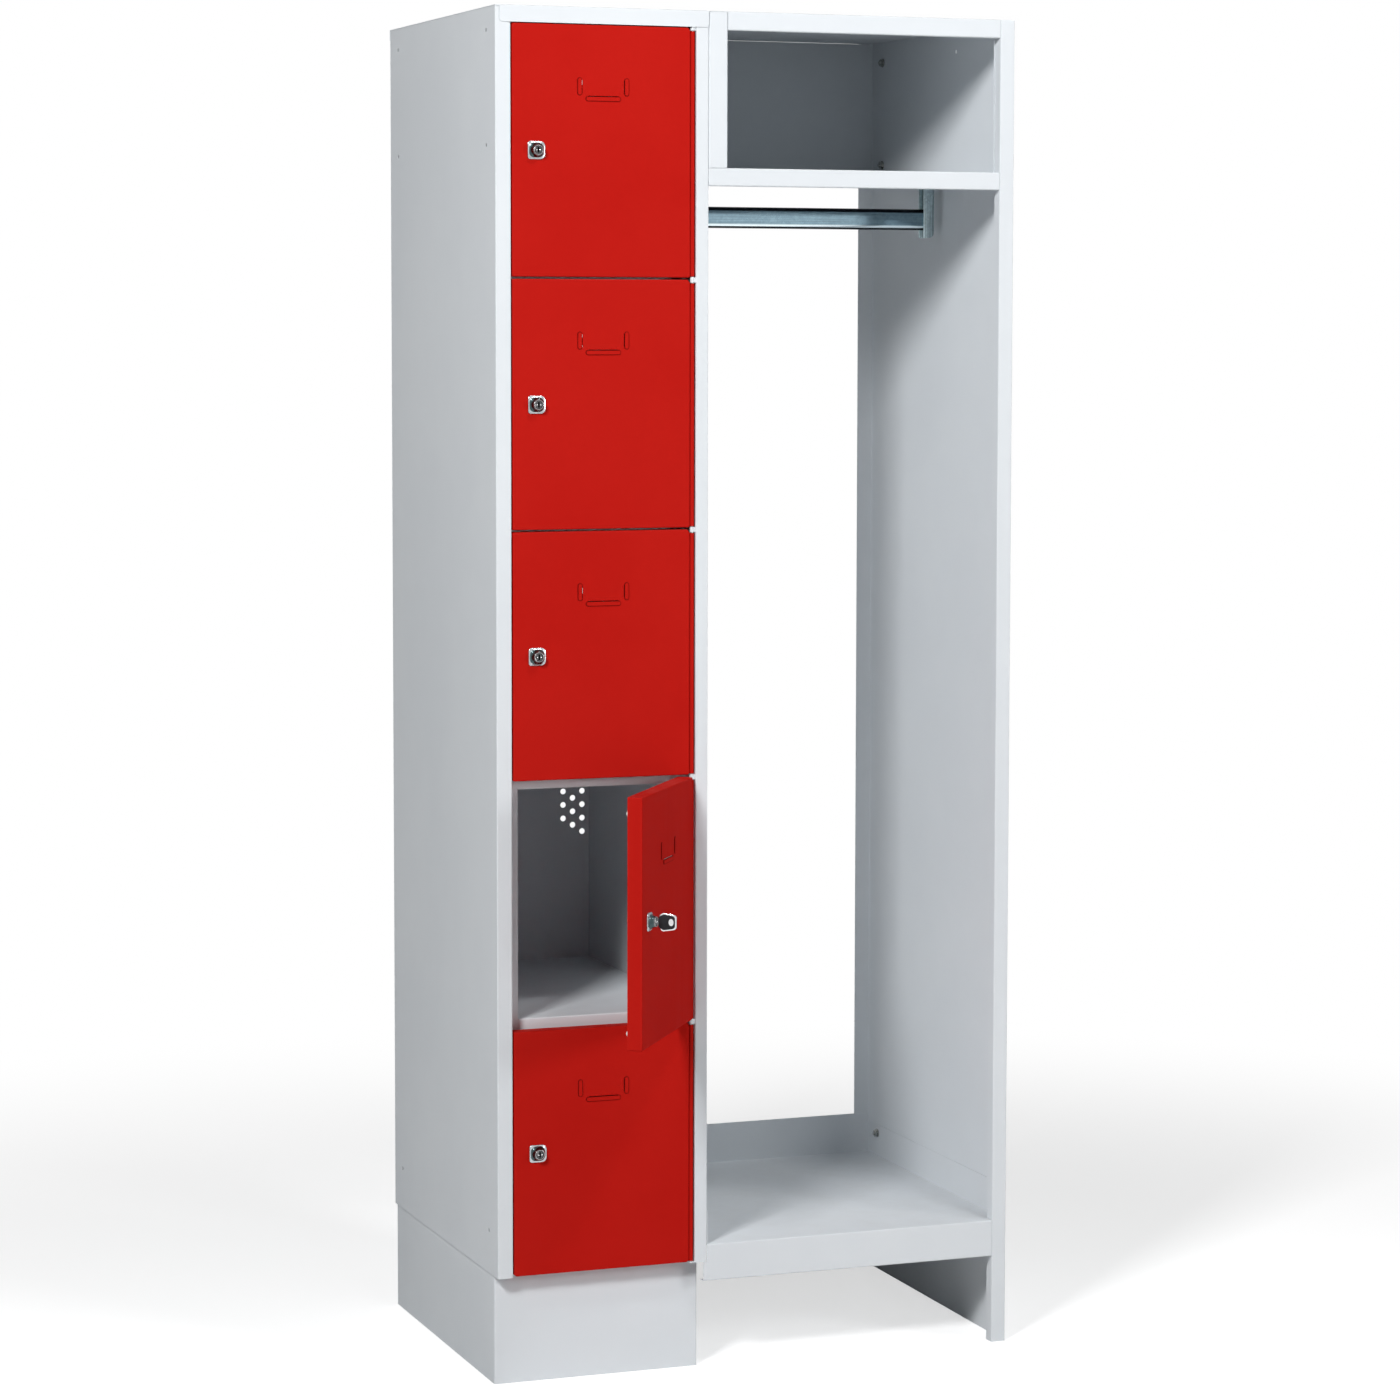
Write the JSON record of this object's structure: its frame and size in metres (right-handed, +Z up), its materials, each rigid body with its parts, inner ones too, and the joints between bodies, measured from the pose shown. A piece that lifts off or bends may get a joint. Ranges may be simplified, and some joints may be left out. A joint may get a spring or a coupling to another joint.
{
  "type": "compartment locker",
  "caption": "Sheet-steel locker with a column of small hinged compartments with cam locks, and an open unit with hat box, hanging rail and boot tray.",
  "frame": {"origin": "centre of the bounding box on the floor, with door 4 open as pictured", "axes": "+Z up, -Y out of the front, +X to the viewer's right, from the compartment column to the open unit"},
  "size_m": [0.752, 0.7062, 1.85],
  "materials": {
    "body_paint": "light grey powder coat, slightly textured, satin",
    "door_paint": "bright red powder coat, satin",
    "zinc": "bluish zinc plate",
    "chrome": "bright nickel or chrome plate",
    "white_plastic": "soft white plastic",
    "key_plastic": "dark moulded bow on a plated blade"
  },
  "bodies": {
    "frame": {"left_side_panel": "body_paint", "partition_panel": "body_paint", "top_panel": "body_paint", "back_panel": "body_paint", "bottom_panel": "body_paint", "shelf_1": "body_paint", "shelf_2": "body_paint", "shelf_3": "body_paint", "shelf_4": "body_paint", "plinth": "body_paint", "hinge_pin_1": "zinc", "hinge_pin_2": "zinc", "hinge_pin_3": "zinc", "hinge_pin_4": "zinc", "hinge_pin_5": "zinc", "hinge_pin_6": "zinc", "end_panel": "body_paint", "hat_box_shell": "body_paint", "hat_box_top": "body_paint", "hat_shelf": "body_paint", "hanging_rail": "zinc", "rail_bracket_left": "zinc", "rail_bracket_right": "zinc", "boot_tray": "body_paint", "hat_box_bolt_upper": "zinc", "hat_box_bolt_lower": "zinc", "tray_bolt_rear": "zinc", "tray_bolt_front": "zinc"},
    "door_1_body": {"door_1": "door_paint", "lock_housing_1": "chrome", "door_buffer_upper_1": "white_plastic", "door_buffer_lower_1": "white_plastic"},
    "lock_1_body": {"lock_cylinder_1": "chrome", "lock_cam_1": "zinc"},
    "door_2_body": {"door_2": "door_paint", "lock_housing_2": "chrome", "door_buffer_upper_2": "white_plastic", "door_buffer_lower_2": "white_plastic"},
    "lock_2_body": {"lock_cylinder_2": "chrome", "lock_cam_2": "zinc"},
    "door_3_body": {"door_3": "door_paint", "lock_housing_3": "chrome", "door_buffer_upper_3": "white_plastic", "door_buffer_lower_3": "white_plastic"},
    "lock_3_body": {"lock_cylinder_3": "chrome", "lock_cam_3": "zinc"},
    "door_4_body": {"door_4": "door_paint", "lock_housing_4": "chrome", "door_buffer_upper_4": "white_plastic", "door_buffer_lower_4": "white_plastic"},
    "lock_4_body": {"lock_cylinder_4": "chrome", "lock_cam_4": "zinc"},
    "door_5_body": {"door_5": "door_paint", "lock_housing_5": "chrome", "door_buffer_upper_5": "white_plastic", "door_buffer_lower_5": "white_plastic"},
    "lock_5_body": {"lock_cylinder_5": "chrome", "lock_cam_5": "zinc"},
    "key_body": {"key": "key_plastic"}
  },
  "joints": [
    {"name": "door_1_hinge", "type": "hinge", "parent": "frame", "child": "door_1_body", "pos_m": [-0.09855, -0.14489, 1.66057], "axis": [0, 0, 1], "range_deg": [0, 105]},
    {"name": "lock_1_turn", "type": "hinge", "parent": "door_1_body", "child": "lock_1_body", "pos_m": [-0.31955, -0.14789, 1.66057], "axis": [0, -1, 0], "range_deg": [0, 90]},
    {"name": "door_2_hinge", "type": "hinge", "parent": "frame", "child": "door_2_body", "pos_m": [-0.09855, -0.14489, 1.32491], "axis": [0, 0, 1], "range_deg": [0, 105]},
    {"name": "lock_2_turn", "type": "hinge", "parent": "door_2_body", "child": "lock_2_body", "pos_m": [-0.31955, -0.14789, 1.32491], "axis": [0, -1, 0], "range_deg": [0, 90]},
    {"name": "door_3_hinge", "type": "hinge", "parent": "frame", "child": "door_3_body", "pos_m": [-0.09855, -0.14489, 0.98925], "axis": [0, 0, 1], "range_deg": [0, 105]},
    {"name": "lock_3_turn", "type": "hinge", "parent": "door_3_body", "child": "lock_3_body", "pos_m": [-0.31955, -0.14789, 0.98925], "axis": [0, -1, 0], "range_deg": [0, 90]},
    {"name": "door_4_hinge", "type": "hinge", "parent": "frame", "child": "door_4_body", "pos_m": [-0.09855, -0.14489, 0.65359], "axis": [0, 0, 1], "range_deg": [-54.5, 50.5]},
    {"name": "lock_4_turn", "type": "hinge", "parent": "door_4_body", "child": "lock_4_body", "pos_m": [-0.22444, -0.32655, 0.65359], "axis": [0.8141, -0.5807, 0], "range_deg": [0, 90]},
    {"name": "door_5_hinge", "type": "hinge", "parent": "frame", "child": "door_5_body", "pos_m": [-0.09855, -0.14489, 0.31793], "axis": [0, 0, 1], "range_deg": [0, 105]},
    {"name": "lock_5_turn", "type": "hinge", "parent": "door_5_body", "child": "lock_5_body", "pos_m": [-0.31955, -0.14789, 0.31793], "axis": [0, -1, 0], "range_deg": [0, 90]},
    {"name": "key_slide", "type": "slide", "parent": "lock_4_body", "child": "key_body", "axis": [0.8141, -0.5807, 0], "range_m": [0, 0.028]}
  ]
}
